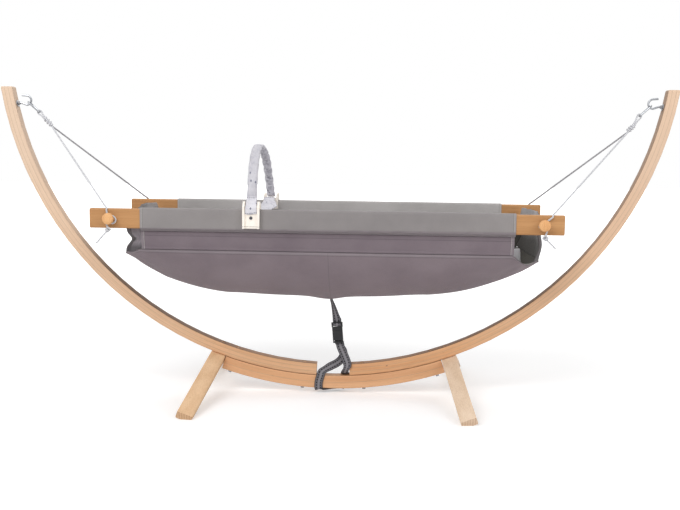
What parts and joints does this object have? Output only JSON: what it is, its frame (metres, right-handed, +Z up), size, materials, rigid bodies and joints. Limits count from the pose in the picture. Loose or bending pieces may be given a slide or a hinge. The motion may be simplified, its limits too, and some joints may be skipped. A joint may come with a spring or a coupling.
{
  "type": "baby hammock with stand",
  "caption": "Rail-framed cloth baby hammock with a toy arch, hung by ropes from the arms of a curved laminated wooden stand, with a buckled strap below.",
  "frame": {"origin": "on the floor under the middle of the stand", "axes": "+Z up, +X along the stand towards the end away from the toy arch, -Y towards the front"},
  "size_m": [1.9964, 0.702, 0.912],
  "materials": {
    "beech": "oiled laminated wood",
    "rail_wood": "oiled wood",
    "peg_wood": "turned oiled wood",
    "zinc": "zinc plated",
    "rope": "braided cord",
    "sleeve_cloth": "grey woven cloth",
    "panel_cloth": "grey violet woven cloth",
    "pad_cloth": "white quilted cloth",
    "webbing": "woven webbing with dark stitches",
    "black_plastic": "moulded",
    "hoop_cloth": "light printed cloth over a padded hoop",
    "cream_cloth": "cream cloth",
    "clip_cream": "cream",
    "dark_stud": "moulded"
  },
  "bodies": {
    "stand": {"arm_left": "beech", "foot_left": "beech", "splice_outer_left_bolt": "zinc", "splice_outer_left_nut": "zinc", "splice_inner_left_bolt": "zinc", "splice_inner_left_nut": "zinc", "foot_left_bolt": "zinc", "foot_left_nut": "zinc", "hook_left": "zinc", "hook_nut_left": "zinc", "hook_washer_left": "zinc", "arm_right": "beech", "foot_right": "beech", "splice_outer_right_bolt": "zinc", "splice_outer_right_nut": "zinc", "splice_inner_right_bolt": "zinc", "splice_inner_right_nut": "zinc", "foot_right_bolt": "zinc", "foot_right_nut": "zinc", "hook_right": "zinc", "hook_nut_right": "zinc", "hook_washer_right": "zinc", "lower_arc": "beech", "strap_lower": "webbing"},
    "hammock": {"snap_hook_left": "zinc", "rope_loop_left": "rope", "end_panel_left": "panel_cloth", "snap_hook_right": "zinc", "rope_loop_right": "rope", "end_panel_right": "panel_cloth", "rope_front_left": "rope", "peg_front_left": "peg_wood", "rope_front_right": "rope", "peg_front_right": "peg_wood", "rail_front": "rail_wood", "sleeve_front": "sleeve_cloth", "side_panel_front": "panel_cloth", "rope_rear_left": "rope", "peg_rear_left": "peg_wood", "rope_rear_right": "rope", "peg_rear_right": "peg_wood", "rail_rear": "rail_wood", "sleeve_rear": "sleeve_cloth", "side_panel_rear": "panel_cloth", "bottom_panel": "panel_cloth", "mattress": "pad_cloth", "strap_upper": "webbing"},
    "buckle_socket_body": {"buckle_socket": "black_plastic"},
    "buckle_plug_body": {"buckle_plug": "black_plastic", "plug_webbing": "webbing"},
    "gate_left": {"snap_gate_left": "zinc"},
    "gate_right": {"snap_gate_right": "zinc"},
    "toy_arch": {"arch_clip_front": "clip_cream", "arch_button_front": "dark_stud", "arch_clip_rear": "clip_cream", "arch_button_rear": "dark_stud", "arch_hoop": "hoop_cloth", "arch_band": "cream_cloth"}
  },
  "joints": [
    {"name": "hammock_swing", "type": "hinge", "parent": "stand", "child": "hammock", "pos_m": [0, 0, 0.8627], "axis": [1, 0, 0], "range_deg": [-6, 6], "deforming": ["strap_upper", "strap_lower"]},
    {"name": "strap_tilt", "type": "hinge", "parent": "stand", "child": "buckle_socket_body", "pos_m": [0, 0, 0.012], "axis": [1, 0, 0], "range_deg": [-13, 13]},
    {"name": "buckle_release", "type": "slide", "parent": "buckle_socket_body", "child": "buckle_plug_body", "axis": [-0.0767, 0, 0.9971], "range_m": [0, 0.026]},
    {"name": "snap_gate_left_open", "type": "hinge", "parent": "hammock", "child": "gate_left", "pos_m": [-0.89578, 0.00649, 0.84448], "axis": [0.6794, 0, 0.7337], "range_deg": [0, 25], "stiffness_Nm_per_rad": 0.02, "springref_deg": -20.05},
    {"name": "snap_gate_right_open", "type": "hinge", "parent": "hammock", "child": "gate_right", "pos_m": [0.89578, 0.00649, 0.84448], "axis": [0.6794, 0, -0.7337], "range_deg": [0, 25], "stiffness_Nm_per_rad": 0.02, "springref_deg": -20.05},
    {"name": "toy_arch_slide", "type": "slide", "parent": "hammock", "child": "toy_arch", "axis": [1, 0, -0.0044], "range_m": [-0.28, 0.68]}
  ],
  "couplings": [
    {"joint": "strap_tilt", "follows": "hammock_swing", "ratio": -2.15}
  ]
}
